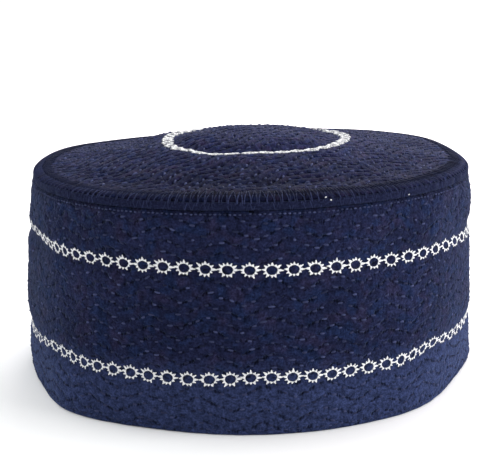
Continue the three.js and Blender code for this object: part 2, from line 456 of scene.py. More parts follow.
# The marks of the running stitch on the quilting map: the pits at each stitch's ends.
marks, bench, taken, given = new_group("quilting_marks", [("Place", "NodeSocketVector")], "Pit")
along, up, _ = bench.split(taken["Place"])
climb = bench.times(bench.sum("PINGPONG", along, float(stitches_to_a_leg)), zigzag_rise / row_pitch)
level = bench.sum("SUBTRACT", up, climb)
row = bench.sum("ROUND", level)
off_row = bench.times(bench.sum("SUBTRACT", level, row), row_pitch)
odd = bench.times(bench.sum("PINGPONG", row, 1.0), row_stagger / stitch_pitch)
place = bench.sum("SUBTRACT", along, odd)
off_stitch = bench.times(bench.sum("SUBTRACT", place, bench.sum("ROUND", place)), stitch_pitch)
off_pit = bench.sum("SUBTRACT", bench.sum("ABSOLUTE", off_stitch), pit_place)
squared = bench.sum("ADD", bench.times(off_pit, off_pit), bench.times(off_row, off_row))
bench.fill(given, {"Pit": bench.fade(bench.sum("SQRT", squared), 0.95, 0.15)})

# Cotton hardly shines, but its fuzz catches a blue light. Hands fade it to a greyer navy; near the wall's rim
# that fade is partly painted light from the floor.
cotton_finish = {"Specular IOR Level": 0.02, "Sheen Roughness": 0.3, "Sheen Tint": (0.45, 0.62, 1.0, 1.0)}
faded_and_floor_lit_navy = (0.0235, 0.0330, 0.0860, 1)


def new_material(name):
    """A material, its workbench and its shader."""
    material = bpy.data.materials.new(name)
    material.use_nodes = True
    return material, Workbench(material.node_tree), material.node_tree.nodes["Principled BSDF"]


def quilted_cotton(name, deep, worn, dusty, fuzz, drawn):
    """Navy cotton, quilted: three colours from the deepest to the dustiest, how much fuzz it has, and how far
    its grain is drawn out along the stitches."""
    material, bench, shader = new_material(name)
    bluer = (deep[0] * 0.95, worn[1], worn[2] * 1.1, 1)
    cloth_map = bench.mapped("cloth")
    fine = bench.add("ShaderNodeGroup", {"Place": cloth_map, "Pitch": 0.42}, node_tree=weave)
    marked = bench.add("ShaderNodeGroup", {"Place": bench.mapped("quilting")}, node_tree=marks)
    stretched = {0: cloth_map, 1: (1.0, drawn, 1.0)}
    creased = bench.add("ShaderNodeVectorMath", stretched, operation="MULTIPLY").outputs[0]
    blotch = bench.noise(cloth_map, 0.035, 3.0, 0.6)
    patch = bench.noise(cloth_map, 0.13)
    cool = bench.noise(cloth_map, 0.15, 1.0)
    pucker = bench.noise(creased, 0.45, 2.0, 0.6)
    grain = bench.noise(creased, 1.25, 3.0, 0.7)
    colour = bench.mix(bench.fade(blotch, 0.35, 0.7), deep, worn)
    colour = bench.mix(bench.fade(patch, 0.5, 0.66, 0.0, 0.65), colour, dusty)
    colour = bench.mix(bench.fade(cool, 0.5, 0.64, 0.0, 0.6), colour, bluer)
    # Faded near the wall's rim, partly as painted light from the floor
    colour = bench.mix(bench.kept("wear_and_floor_light"), colour, faded_and_floor_lit_navy)
    # The puckers are painted lighter and darker with the same noise as their bumps: painted shade.
    pucker_painted_shade = bench.fade(pucker, 0.3, 0.7, 0.68, 1.34)
    threaded = bench.fade(grain, 0.3, 0.7, 0.55, 1.45)
    slack = bench.fade(bench.noise(cloth_map, 0.3, 1.0), 0.34, 0.58)
    pit = bench.times(marked.outputs["Pit"], slack)
    # The kept tone is painted shade: it darkens the colour and the sheen of the wall's top edge and of the
    # crown's front.
    tone = bench.kept("tone")
    shade = bench.times(bench.times(pucker_painted_shade, threaded), tone)
    # The pits at the stitches' ends are painted darker: painted shade.
    shade = bench.times(shade, bench.fade(pit, 0.0, 1.0, 1.0, 0.36))
    dented = bench.bump(bench.times(pit, -1.0), 0.00045, 0.9)
    puckered = bench.bump(bench.sum("ADD", pucker, bench.times(grain, 0.35)), 0.0012, 0.8, dented)
    woven = bench.bump(fine.outputs["Height"], 0.00007, 0.8, puckered)
    bench.fill(shader, {"Base Color": bench.dim(colour, shade), "Roughness": 0.9, "Normal": woven})
    bench.fill(shader, {"Sheen Weight": bench.times(tone, fuzz)})
    bench.fill(shader, cotton_finish)
    return material


wall_colours = [(0.0088, 0.0114, 0.0341, 1), (0.0133, 0.0166, 0.0481, 1), (0.0182, 0.0166, 0.0429, 1)]
wall.data.materials.append(quilted_cotton("quilted_wall_cotton", *wall_colours, fuzz=0.12, drawn=1.0))
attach(wall, "root")
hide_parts("side_band")

# The welt
# A folded strip of the same cotton sewn into the crown seam. It stands a little proud of the wall.
welt_thickness = 2.2
welt_proud = 0.5
welt_steps = 720
seam_radius = float(wall_radius(wall_height))
welt_outer = seam_radius + welt_proud
welt_inner = welt_outer - welt_thickness
welt_low = wall_height - welt_height / 2 - 0.1
welt_high = wall_height + welt_height / 2 + 0.2
welt_outline = []
for step in range(9):
    turn = math.pi * (step / 8 - 0.5)
    bulge = math.cos(turn) ** 0.4
    rise = 0.5 + 0.5 * math.sin(turn)
    welt_outline.append((welt_outer - 0.6 + 0.6 * bulge, welt_low + (welt_high - welt_low) * rise))
welt_outline += [(welt_inner, welt_high), (welt_inner, welt_low)]
welt = spun_cloth("seam_welt_strip", welt_outline, welt_steps)
azimuth, height, radius, _ = spun_places(welt.data)
arc = arc_at(azimuth)


def welt_waver(azimuth):
    """How the strip's height wavers round the cap, in millimetres."""
    return 0.22 * unevenness(arc_at(azimuth), 0 * azimuth, 26, 21, arc_round)


proud = np.clip((radius - welt_inner) / welt_thickness, 0, 1)
moved = radius + crease_offset(azimuth, 1.0)
moved = moved + proud * (0.16 * unevenness(arc, height, 6, 22, arc_round) - 0.05)
lifted = height - sink_offset(azimuth, wall_top) + 0.4 * welt_waver(azimuth)
corner, turned, start, count = corner_azimuths(welt.data, azimuth)
strip_map = np.stack([arc_at(turned), height[corner] * 1.4], axis=-1)
finish_cloth(welt, turned_place(azimuth, moved, lifted), {"cloth": strip_map})

shaded_welt_cotton, bench, shader = new_material("shaded_welt_cotton")
cloth_map = bench.mapped("cloth")
fine = bench.add("ShaderNodeGroup", {"Place": cloth_map, "Pitch": 0.38}, node_tree=weave)
folded = bench.noise(cloth_map, 0.4, 3.0, 0.6)
rubbed = bench.noise(cloth_map, 1.1, 3.0, 0.7)
# The welt's colours are painted darker than the wall's cotton, as the seam's painted shade; its rubbed places
# are real rubbing.
colour = bench.mix(bench.fade(folded, 0.35, 0.7), (0.0055, 0.0072, 0.0215, 1), (0.0095, 0.0120, 0.0340, 1))
colour = bench.mix(bench.fade(rubbed, 0.45, 0.7), colour, (0.0180, 0.0225, 0.0580, 1))
woven = bench.bump(fine.outputs["Height"], 0.00007, 0.8, bench.bump(folded, 0.0004, 0.6))
dull = bench.fade(folded, 0.3, 0.7, 0.8, 0.95)
bench.fill(shader, {"Base Color": colour, "Roughness": dull, "Normal": woven, "Sheen Weight": 0.08})
bench.fill(shader, cotton_finish)
welt.data.materials.append(shaded_welt_cotton)
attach(welt, "root")
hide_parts("seam_welt")

# The crown
# A disc of the same quilted cotton, a low dome. Its edge rolls down to the seam and turns in behind the welt.
crown_rise = 14.2
crown_thickness = 2.4
crown_set_back = 0.5
crown_lip = 1.4
ring_radius = 40
ring_shift = 2.5
dome_fullness = 1.2
mean_fullness = 0.1
shoulder_width = 0.18
shoulder_roundness = 2.6
ring_level = 0.64
crown_lean = 0.019
# How full the shoulder is round the cap: azimuth, and a share of the crown's rise
shoulder_fullness = [
    (-180, 0.08), (-135, 0.07), (-90, 0.1), (-45, 0.12), (0, 0.18),
    (45, 0.13), (90, 0.22), (135, 0.2), (180, 0.08),
]
crown_edge_height = wall_height + welt_height / 2 + sewing_gap
crown_edge_radius = seam_radius - crown_set_back
lip_outer = welt_inner - sewing_gap
lip_inner = lip_outer - crown_thickness
shoulder_inner = seam_radius - shoulder_width * girth_radius
shoulder_height = crown_edge_height + mean_fullness * crown_rise
ring_height = wall_height + ring_level * crown_rise
crown_top = wall_height + crown_rise


def shoulder_share(radius):
    """How far a radius has come up the shoulder's rounding: 0 at the crown's edge, 1 at its inner end."""
    run = np.clip((crown_edge_radius - radius) / (crown_edge_radius - shoulder_inner), 0, 1)
    return (1 - (1 - run) ** shoulder_roundness) ** (1 / shoulder_roundness)


def crown_height(radius):
    """The even crown's height at a radius: the shoulder, the run to the ring, and the raised middle."""
    over_shoulder = crown_edge_height + (shoulder_height - crown_edge_height) * shoulder_share(radius)
    climb = (shoulder_inner - radius) / (shoulder_inner - ring_radius)
    to_ring = shoulder_height + (ring_height - shoulder_height) * climb
    share = radius / ring_radius
    over_dome = crown_top + (ring_height - crown_top) * share + dome_fullness * np.sin(np.pi * share)
    inner_height = np.where(radius > ring_radius, to_ring, over_dome)
    return np.where(radius > shoulder_inner, over_shoulder, inner_height)


def share_inside(radius, whole_radius):
    """The share of an uneven form at a radius: none on the sewn edge, whole at an inner radius."""
    return 1 - swell(np.maximum(lip_inner - radius, 0), lip_inner - whole_radius)


def fullness_offset(radius, azimuth):
    """How far the shoulder stands above its mean height, fading out at the ring."""
    more = read_table(shoulder_fullness, azimuth) - mean_fullness
    fade = np.clip((radius - ring_radius) / (shoulder_inner - ring_radius), 0, 1)
    reach = np.where(radius > shoulder_inner, shoulder_share(radius), fade)
    return more * crown_rise * reach


def crown_place(azimuth, radius, height):
    """Moves a point of the even crown to its place on the real, uneven one."""
    inner = share_inside(radius, ring_radius)
    back = -radius * np.cos(np.radians(azimuth))
    sewn = (radius > lip_inner - 0.001) & (height < crown_edge_height + 0.001)
    level = height + np.where(sewn, 0, fullness_offset(radius, azimuth)) - crown_lean * back * inner
    level = level - sink_offset(azimuth, wall_top) * (1 - inner)
    reach = radius + crease_offset(azimuth, 1.0) * (1 - inner)
    return turned_place(azimuth, reach, level, ring_shift * inner)


# The crown's cloth was cut with its quilting on the slant.
crown_slant = math.radians(42)
crown_edge_band = 7.0
# The embroidered ring isn't quite round: azimuth and radius of its middle line
ring_line = [
    (-180, 38.0), (-130, 36.5), (-85, 35.6), (-60, 38.3), (-37, 40.6), (-15, 41.4), (5, 39.5),
    (25, 38.9), (48, 39.2), (72, 37.8), (95, 38.8), (120, 40.0), (180, 38.0),
]


def level_place(azimuth, radius):
    """The place across and back of an azimuth and radius."""
    turn = np.radians(azimuth)
    return radius * np.sin(turn), -radius * np.cos(turn)


def crown_quilting(azimuth, radius):
    """Where a point of the crown lies in the quilting: stitches along and rows up."""
    x, y = level_place(azimuth, radius)
    slid, lifted = quilting_wander(x, y)
    along = (x * math.cos(crown_slant) + y * math.sin(crown_slant) - slid) / stitch_pitch
    up = (y * math.cos(crown_slant) - x * math.sin(crown_slant) - lifted) / row_pitch
    return along, up


def crown_relief(azimuth, radius):
    """How far the crown's cloth stands off its even surface."""
    x, y = level_place(azimuth, radius)
    along, up = crown_quilting(azimuth, radius)
    off_ring = radius - read_table(ring_line, azimuth)
    near_ring = swell(off_ring, embroidery_reach)
    near_edge = np.clip((radius - (crown_edge_radius - crown_edge_band - 1.5)) / 3.0, 0, 1)
    quilted = np.clip(1 - near_ring - near_edge, 0, 1)
    strength = 1.3 - 0.0045 * y + 0.35 * unevenness(x, y, 34, 31)
    relief = quilt_relief(along, up) * quilted * strength
    loose = np.clip((lip_inner - radius) / 8, 0, 1)
    relief = relief + 0.22 * unevenness(x, y, 27, 32) * loose
    relief = relief + 0.06 * unevenness(x, y, 9, 33) * loose
    # The embroidery draws the cloth into a groove, and the padding swells just outside it.
    relief = relief - 0.75 * swell(off_ring + 4.0, 6.5) + 0.55 * swell(off_ring - 5.5, 9.0)
    return relief + 0.06 * unevenness(x, y, 4, 34) * quilted


crown_steps = 720
radii = [ring_radius * step / 32 for step in range(32)]
radii += [ring_radius + (shoulder_inner - ring_radius) * step / 54 for step in range(54)]
shoulder_steps = 24
for step in range(shoulder_steps):
    share = math.sin(math.pi / 2 * step / shoulder_steps)
    radii.append(shoulder_inner + (crown_edge_radius - shoulder_inner) * share)
crown_outline = [(radius, float(crown_height(radius))) for radius in radii]
crown_outline += [
    (crown_edge_radius, crown_edge_height),
    (crown_edge_radius - 0.35, crown_edge_height - 0.35),
    (lip_outer + 0.1, crown_edge_height - 0.5),
    (lip_outer, crown_edge_height - crown_lip),
    (lip_inner, crown_edge_height - crown_lip),
]
for radius in radii[::-1][:shoulder_steps:4] + radii[::-1][shoulder_steps::9] + [0.0]:
    if radius < lip_inner - crown_thickness / 2:
        crown_outline.append((radius, float(crown_height(radius)) - crown_thickness))

crown = spun_cloth("quilted_crown", crown_outline, crown_steps)
azimuth, height, radius, flat_points = spun_places(crown.data)
outside = 1 - np.clip(crown_height(radius) - height, 0, 1)
points = crown_place(azimuth, radius, height + crown_relief(azimuth, radius) * outside)
corner = corner_azimuths(crown.data, azimuth)[0]
quilt_map = np.stack(crown_quilting(azimuth, radius), axis=-1)[corner]
finish_cloth(crown, points, {"cloth": flat_points[corner, :2], "quilting": quilt_map})
# Painted shade: the crown's front is painted darker near the seam and under its edge stitching, and less so
# at its very edge; the sides, which face the lights, are hardly painted darker.
stitched_edge = np.clip((radius - (crown_edge_radius - crown_edge_band - 1.0)) / 2.0, 0, 1)
near_seam = np.clip((radius - 44) / 26, 0, 1)
outermost = np.clip((radius - crown_edge_radius + 1.8) / 1.5, 0, 1)
at_front = 0.5 + 0.5 * np.cos(np.radians(azimuth))
painted_front_shade = 0.45 * near_seam + 0.18 * stitched_edge - 0.1 * outermost
keep_look(crown, 0 * azimuth, 1 - painted_front_shade * (0.1 + 0.9 * at_front**4))
# The crown is the wall's cotton, but its colours are painted lighter, as painted light on its top.
crown_colours_painted_lighter = [(0.0108, 0.0122, 0.0405, 1), (0.0162, 0.0178, 0.0560, 1), (0.0245, 0.0190, 0.0490, 1)]
crown.data.materials.append(quilted_cotton("quilted_crown_cotton", *crown_colours_painted_lighter, fuzz=0.05, drawn=0.3))
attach(crown, "root")
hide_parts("crown")

# The quilting stitches
# Navy thread on the face of the wall and crown, a short dash at a time. The thread dips into the padding at
# both ends of each dash. Chance makes some dashes longer, more tilted or shinier than others.
def thread_dash(rounds, rings):
    """A short length of thread, 1 long and 1 thick, with rounded ends. Returns points, faces and UVs."""
    mesh_maker = bmesh.new()
    quarter_turn = Matrix.Rotation(math.pi / 2, 3, "Y")
    bmesh.ops.create_uvsphere(mesh_maker, u_segments=rounds, v_segments=rings, radius=0.5, calc_uvs=False)
    bmesh.ops.rotate(mesh_maker, verts=mesh_maker.verts, cent=(0, 0, 0), matrix=quarter_turn)
    bmesh.ops.triangulate(mesh_maker, faces=mesh_maker.faces)
    mesh_maker.verts.ensure_lookup_table()
    points = np.array([vert.co for vert in mesh_maker.verts])
    faces = np.array([[vert.index for vert in face.verts] for face in mesh_maker.faces])
    mesh_maker.free()
    girth = np.arctan2(points[:, 1], points[:, 2])
    along = points[:, 0]
    full = np.sqrt(np.clip(1 - (2 * along) ** 4, 0, 1)) * 0.5
    thin = np.hypot(points[:, 1], points[:, 2])
    scale = np.where(thin > 1e-6, full / np.maximum(thin, 1e-6), 0)
    points[:, 1] *= scale
    points[:, 2] *= scale
    corners = faces.ravel()
    uvs = np.stack([along[corners], girth[corners] / (2 * math.pi)], axis=-1)
    return points, faces, uvs


def unit(vectors):
    return vectors / np.linalg.norm(vectors, axis=-1, keepdims=True)


dash = thread_dash(6, 4)


def lay_threads(name, thread, starts, ends, normals, width, thickness, bend, tones):
    """One piece of many lengths of thread, from starts to ends, on a surface with these normals."""
    points, faces, uvs = dash
    length = np.linalg.norm(ends - starts, axis=1, keepdims=True)
    lengthwise = (ends - starts) / length
    sideways = unit(np.cross(normals, lengthwise))
    upward = np.cross(lengthwise, sideways)
    along = points[None, :, 0] * length
    across = points[None, :, 1] * np.reshape(width, (-1, 1))
    above = points[None, :, 2] * np.reshape(thickness, (-1, 1)) - bend * (2 * points[None, :, 0]) ** 2
    placed = (starts + ends)[:, None, :] / 2 + along[..., None] * lengthwise[:, None, :]
    placed = placed + across[..., None] * sideways[:, None, :] + above[..., None] * upward[:, None, :]
    all_faces = faces[None] + (np.arange(len(starts)) * len(points))[:, None, None]
    mesh = bpy.data.meshes.new(name)
    mesh.from_pydata((placed.reshape(-1, 3) * millimetre).tolist(), [], all_faces.reshape(-1, 3).tolist())
    # The UV map runs along each thread in millimetres and once round it.
    run = uvs[None, :, 0] * length
    round_map = np.stack([run, np.broadcast_to(uvs[None, :, 1], run.shape)], axis=-1)
    layer = mesh.uv_layers.new(name="thread")
    layer.data.foreach_set("uv", np.ascontiguousarray(round_map).ravel())
    tone = mesh.attributes.new("tone", "FLOAT", "POINT")
    tone.data.foreach_set("value", np.repeat(tones, len(points)))
    mesh.polygons.foreach_set("use_smooth", np.ones(len(mesh.polygons), bool))
    mesh.update()
    piece = in_scene(name, mesh)
    material, slot = thread
    mesh.materials.append(material)
    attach(piece, "root")


def wall_normals(azimuth, height):
    """Outward normals of the even wall."""
    left, right, low, high = [
        wall_point(azimuth + turn, height + rise, dressed=False)
        for turn, rise in ((-0.3, 0), (0.3, 0), (0, -0.4), (0, 0.4))
    ]
    return unit(np.cross(right - left, high - low))


def crown_point(azimuth, radius, out=0.0):
    """A point on the crown's cloth, in millimetres, moved up by a distance."""
    return crown_place(azimuth, radius, crown_height(radius) + crown_relief(azimuth, radius) + out)


def crown_normals(azimuth, radius):
    """Normals of the even crown, outwards and up."""
    turn = 20.0 / np.maximum(radius, 1.0)
    height = crown_height(radius)
    across = crown_place(azimuth + turn, radius, height) - crown_place(azimuth - turn, radius, height)
    low = np.minimum(radius + 0.4, crown_edge_radius)
    high = radius - 0.4
    inward = crown_place(azimuth, high, crown_height(high)) - crown_place(azimuth, low, crown_height(low))
    return unit(np.cross(across, inward))


def spun_thread(name, slot, dull, bright, roughness, shine, sheen):
    """Twisted sewing thread and its slot. The tone of each stitch runs from the dull colour to the bright."""
    material, bench, shader = new_material(name)
    run, girth, _ = bench.split(bench.mapped("thread"))
    turns = bench.sum("ADD", bench.times(run, 2.4), girth)
    twist = bench.sum("SINE", bench.times(turns, 2 * math.pi))
    colour = bench.mix(bench.kept("tone"), dull, bright)
    # The twist is painted lighter on its ridges and darker in its grooves: painted shade.
    bench.fill(shader, {
        "Base Color": bench.dim(colour, bench.fade(twist, -1.0, 1.0, 0.8, 1.12)),
        "Roughness": bench.fade(twist, -1.0, 1.0, roughness + 0.1, roughness - 0.05),
        "Normal": bench.bump(twist, 0.00005, 0.7),
        "Specular IOR Level": shine,
        "Sheen Weight": sheen,
        "Sheen Roughness": 0.4,
    })
    return material, slot


navy_dull = (0.0075, 0.0100, 0.0300, 1)
navy_bright = (0.062, 0.075, 0.170, 1)
navy_thread = spun_thread("navy_thread", "navy_thread", navy_dull, navy_bright, 0.75, 0.06, 0.02)
ride_up = 0.1


def lay_quilting(name, starts, middles, ends, normals, width, thickness, tones):
    """Lays quilting stitches, each moved half way to where its middle lies on the cloth."""
    lift = 0.5 * (middles - (starts + ends) / 2)
    lay_threads(name, navy_thread, starts + lift, ends + lift, normals, width, thickness, 0.22, tones)


def leg_slope(along):
    """Which way a zigzag row climbs at a stitch: 1 or -1, and 0 where it turns."""
    slope = np.where(along % 6 < 3, 1.0, -1.0)
    return np.where(np.abs(along % 3) < 0.3, 0.0, slope)


# On the wall, the rows of quilting stop short of the embroidery, the rim and the seam.
quilting_margin = 3.4
chance = np.random.default_rng(41)
row, stitch = np.meshgrid(np.arange(-3, 22), np.arange(-90, 91), indexing="ij")
along = stitch + row_stagger / stitch_pitch * (row % 2)
band_stitches = []
bottom = 0.0
for top, first, level in quilted_bands:
    height = level + (row + zigzag(along)) * row_pitch
    arc = first + along * stitch_pitch
    slid, lifted = quilting_wander(arc, height, arc_round)
    height = height + lifted
    azimuth = azimuth_at(arc + slid)
    below = height < min(top, wall_top + 1.4) - quilting_margin
    kept = (np.abs(azimuth) < 178.6) & (height > bottom + quilting_margin) & below
    band_stitches.append(np.stack([azimuth[kept], height[kept], leg_slope(along)[kept]]))
    bottom = top
azimuth, height, slope = np.concatenate(band_stitches, axis=1)
count = len(azimuth)
azimuth = azimuth + chance.normal(0, 0.11, count)
height = height + chance.normal(0, 0.2, count)
half = (1.9 + chance.normal(0, 0.4, count)) / 2
tilt = np.radians(6 * slope + chance.normal(0, 9, count))
turn = azimuth_at(half * np.cos(tilt))
rise = half * np.sin(tilt)
lay_quilting(
    "wall_quilting_stitches",
    wall_point(azimuth - turn, height - rise, ride_up),
    wall_point(azimuth, height, ride_up),
    wall_point(azimuth + turn, height + rise, ride_up),
    wall_normals(azimuth, height),
    width=0.76,
    thickness=0.6,
    tones=chance.beta(1.4, 2.2, count),
)

# On the crown they stop short of the ring and of the stitched edge.
row, stitch = np.meshgrid(np.arange(-24, 25), np.arange(-28, 29), indexing="ij")
along = stitch + row_stagger / stitch_pitch * (row % 2)
run = along * stitch_pitch
climb = (row + zigzag(along)) * row_pitch
slant_run = math.cos(crown_slant)
slant_climb = math.sin(crown_slant)
x = run * slant_run - climb * slant_climb
y = run * slant_climb + climb * slant_run
slid, lifted = quilting_wander(x, y)
x = x + slid * slant_run - lifted * slant_climb
y = y + slid * slant_climb + lifted * slant_run


def crown_polar(x, y):
    return np.degrees(np.arctan2(x, -y)), np.hypot(x, y)


azimuth, radius = crown_polar(x, y)
off_ring = np.abs(radius - read_table(ring_line, azimuth))
clear_of_ring = 3.6
kept = (radius < crown_edge_radius - crown_edge_band - 1.0) & (off_ring > clear_of_ring) & (radius > 1.5)
count = kept.sum()
x = x[kept] + chance.normal(0, 0.16, count)
y = y[kept] + chance.normal(0, 0.16, count)
heading = crown_slant + np.radians(8 + 24 * leg_slope(along)[kept] + chance.normal(0, 10, count))
half = (2.0 + chance.normal(0, 0.35, count)) / 2
side = half * np.cos(heading)
rise = half * np.sin(heading)
lay_quilting(
    "crown_quilting_stitches",
    crown_point(*crown_polar(x - side, y - rise), ride_up),
    crown_point(*crown_polar(x, y), ride_up),
    crown_point(*crown_polar(x + side, y + rise), ride_up + 0.3),
    crown_normals(*crown_polar(x, y)),
    width=0.75,
    thickness=0.8,
    tones=chance.beta(1.3, 2.2, count),
)

# The seam's stitching
# Navy thread again: long overcast strokes over the crown's edge, short ones that wrap the welt, and a row of
# small stitches that holds the wall's top edge. A like row holds the rim.
overcast_count = 430


def evenly_round(count, stray):
    """Azimuths at an even pitch round the cap, each a little astray."""
    return -180 + 360 * (np.arange(count) + 0.5) / count + chance.normal(0, stray, count)


azimuth = evenly_round(overcast_count, 0.06)
reach_in = 6.6 + chance.normal(0, 0.35, overcast_count)
side_to_side = np.where(np.arange(overcast_count) % 2 == 0, 1, -1)
sway = chance.normal(0, 0.25, overcast_count) + 0.55 * side_to_side
# Each stroke bends at its middle knot.
edge_reach = crown_edge_radius - 0.15 + 0 * azimuth
knots = [edge_reach, edge_reach - 0.42 * reach_in, edge_reach - reach_in]
turns = [azimuth - 0.5 * sway, azimuth, azimuth + 0.5 * sway]
outer, middle, inner = [crown_point(turn, knot, 0.12) for turn, knot in zip(turns, knots)]
outer_normals, inner_normals = [
    crown_normals((turns[k] + turns[k + 1]) / 2, (knots[k] + knots[k + 1]) / 2) for k in (0, 1)
]
# At its foot each stroke dips over the edge and catches the welt.
foot_radius = welt_outer + crease_offset(turns[0], 1.0) - 0.05
foot_height = wall_height + welt_height / 2 - 0.25 - sink_offset(turns[0], wall_top)
foot = turned_place(turns[0] - 0.1 * sway, foot_radius, foot_height)
# Each stroke is three lengths, and every length runs a little into the next.
lengths = [(outer, middle, 0.08), (middle, inner, 0.08), (foot, outer, 0.05)]
starts = np.concatenate([start - share * (end - start) for start, end, share in lengths])
ends = np.concatenate([end + share * (end - start) for start, end, share in lengths])
normals = np.concatenate([outer_normals, inner_normals, outer_normals])
tones = chance.uniform(0.2, 0.62, overcast_count)
tones = np.concatenate([tones, 0.5 * tones, tones])
# The strokes and the welt's wraps use a darker copy of the navy thread, as painted shade of the seam.
shaded_seam_dull = (0.0035, 0.0050, 0.0150, 1)
shaded_seam_bright = (0.040, 0.050, 0.130, 1)
shaded_seam_thread = spun_thread("shaded_seam_thread", "navy_thread", shaded_seam_dull, shaded_seam_bright, 0.8, 0.02, 0.03)
lay_threads("crown_edge_overcast", shaded_seam_thread, starts, ends, normals, 0.55, 0.5, 0.05, tones)


def outward(azimuth):
    """The level direction away from the axis."""
    turn = np.radians(azimuth)
    return np.stack([np.sin(turn), -np.cos(turn), 0 * turn], axis=-1)


azimuth = azimuth + 0.33
low = wall_height - welt_height / 2 - 0.1 + chance.normal(0, 0.08, overcast_count)
high = wall_height + welt_height / 2 + 0.25 + chance.normal(0, 0.08, overcast_count)
lean = 0.3 * side_to_side + chance.normal(0, 0.08, overcast_count)
waver = 0.4 * welt_waver(azimuth) - sink_offset(azimuth, wall_top)
reach = welt_outer + crease_offset(azimuth, 1.0) - 0.23
starts = turned_place(azimuth - lean, reach, low + waver)
ends = turned_place(azimuth + lean, reach, high + waver)
tones = chance.uniform(0.2, 0.6, overcast_count)
lay_threads("welt_wrapping", shaded_seam_thread, starts, ends, outward(azimuth), 0.46, 0.4, -0.1, tones)

# Name, count, height, how far it strays, half length, how proud, tones, width, thickness and bend
small_stitches = [
    ("wall_edge_stitches", 330, wall_top - 1.1, 0.09, 0.52, 0.12, (2.0, 2.2), 0.62, 0.55, 0.12),
    ("rim_stitches", 250, 2.0, 0.07, 0.75, 0.1, (1.4, 3.5), 0.5, 0.42, 0.1),
]
for name, count, level, stray, half, proud, lightness, width, thickness, bend in small_stitches:
    azimuth = evenly_round(count, 0.05)
    height = level + chance.normal(0, stray, count)
    turn = azimuth_at(half)
    starts = wall_point(azimuth - turn, height, proud)
    ends = wall_point(azimuth + turn, height, proud)
    tones = chance.beta(*lightness, count)
    lay_threads(name, navy_thread, starts, ends, wall_normals(azimuth, height), width, thickness, bend, tones)

# The embroidery
# White thread, worked by machine: two rows of small eyelet suns round the wall and one ring on the crown.
# Each eyelet is an oval hole with satin stitches fanned out into twelve points, and the longest one links it
# to the next. A point's heading and reach:
sun_points = [
    (0, 3.9), (27, 3.5), (56, 2.75), (90, 3.1), (117, 2.75), (145, 3.5),
    (176, 3.7), (200, 3.0), (231, 2.95), (266, 2.35), (301, 2.75), (338, 2.9),
]
hole_wide = 2.12
hole_tall = 1.78
strands_to_a_point = 3


def sun_strands(chance, link):
    """The satin stitches of one eyelet: from the hole's edge to the points. Returns starts and ends, flat."""
    inner = []
    outer = []
    for place, (angle, reach) in enumerate(sun_points):
        reach = (link if angle == 0 else reach) * chance.normal(1, 0.045)
        angle = angle + chance.normal(0, 2.0)
        before = sun_points[place - 1][0] - (360 if place == 0 else 0)
        after = sun_points[(place + 1) % len(sun_points)][0] + (360 if place == len(sun_points) - 1 else 0)
        for strand in range(strands_to_a_point):
            share = (strand + 0.5) / strands_to_a_point - 0.5
            spread = (after - angle) if share > 0 else (angle - before)
            root = math.radians(angle + share * spread)
            tip = math.radians(angle + share * spread * 0.34)
            tip_reach = reach * (1 - 0.55 * abs(share)) * chance.normal(1, 0.03)
            inner.append((hole_wide * math.cos(root) * 0.96, hole_tall * math.sin(root) * 0.96))
            outer.append((tip_reach * math.cos(tip), tip_reach * math.sin(tip)))
    return np.array(inner), np.array(outer)


# How the rows wander: azimuth and height
upper_line = [
    (-180, 61.4), (-120, 63.0), (-75, 64.2), (-60, 63.6), (-54, 62.9), (-47, 62.0), (-38, 61.6), (-24, 61.5),
    (-10, 61.2), (0, 61.0), (10, 60.7), (25, 60.4), (40, 60.1), (50, 59.9), (61, 59.2), (80, 58.6),
    (120, 60.0), (180, 61.4),
]
lower_line = [
    (-180, 20.8), (-120, 20.6), (-80, 19.4), (-67, 19.8), (-59, 21.2), (-53, 22.1), (-48, 22.0), (-41, 21.0),
    (-32, 20.6), (-21, 20.1), (-9, 20.6), (0, 21.4), (10, 21.4), (19, 21.1), (28, 21.4), (33, 21.2),
    (38, 21.5), (45, 23.0), (49, 23.4), (55, 22.5), (63, 20.8), (110, 20.6), (180, 20.8),
]
# How the eyelets stray along their row: azimuth and drift
upper_drift = [
    (-180, 0.0), (-120, 5.0), (-85, 7.4), (-67, 6.8), (-58, 3.8), (-53, 2.4), (-48, 0.8), (-43, -0.3),
    (-38, -0.5), (-23, -0.6), (-14, -0.4), (0, -0.3), (25, -0.2), (40, 0.1), (49, 0.3), (54, 1.2),
    (59, 2.1), (70, 3.2), (120, 1.5), (180, 0.0),
]
lower_drift = [
    (-180, 0.0), (-75, -0.4), (-65, -0.2), (-60, 1.0), (-55, 2.4), (-51, 2.3), (-46, 1.5), (-41, 0.4),
    (-36, 0.1), (-32, -0.2), (-23, -0.6), (-13, -0.4), (-4, -0.2), (10, -0.4), (24, -0.6), (33, -0.5),
    (38, -0.7), (43, -1.6), (47, -2.5), (52, -2.6), (57, -1.5), (62, 0.2), (72, 1.0), (180, 0.0),
]
# The eyelets are worked a little smaller towards the sides: azimuth and size
eyelet_size = [
    (-70, 0.76), (-58, 0.82), (-45, 0.93), (-20, 0.99), (20, 0.97), (40, 0.92), (58, 0.82), (70, 0.8),
]

white_dull = (0.72, 0.735, 0.77, 1)
white_bright = (0.9, 0.9, 0.9, 1)
white_thread = spun_thread("white_thread", "white_thread", white_dull, white_bright, 0.5, 0.1, 0.1)
satin_width = 0.56
satin_tuck = 0.1


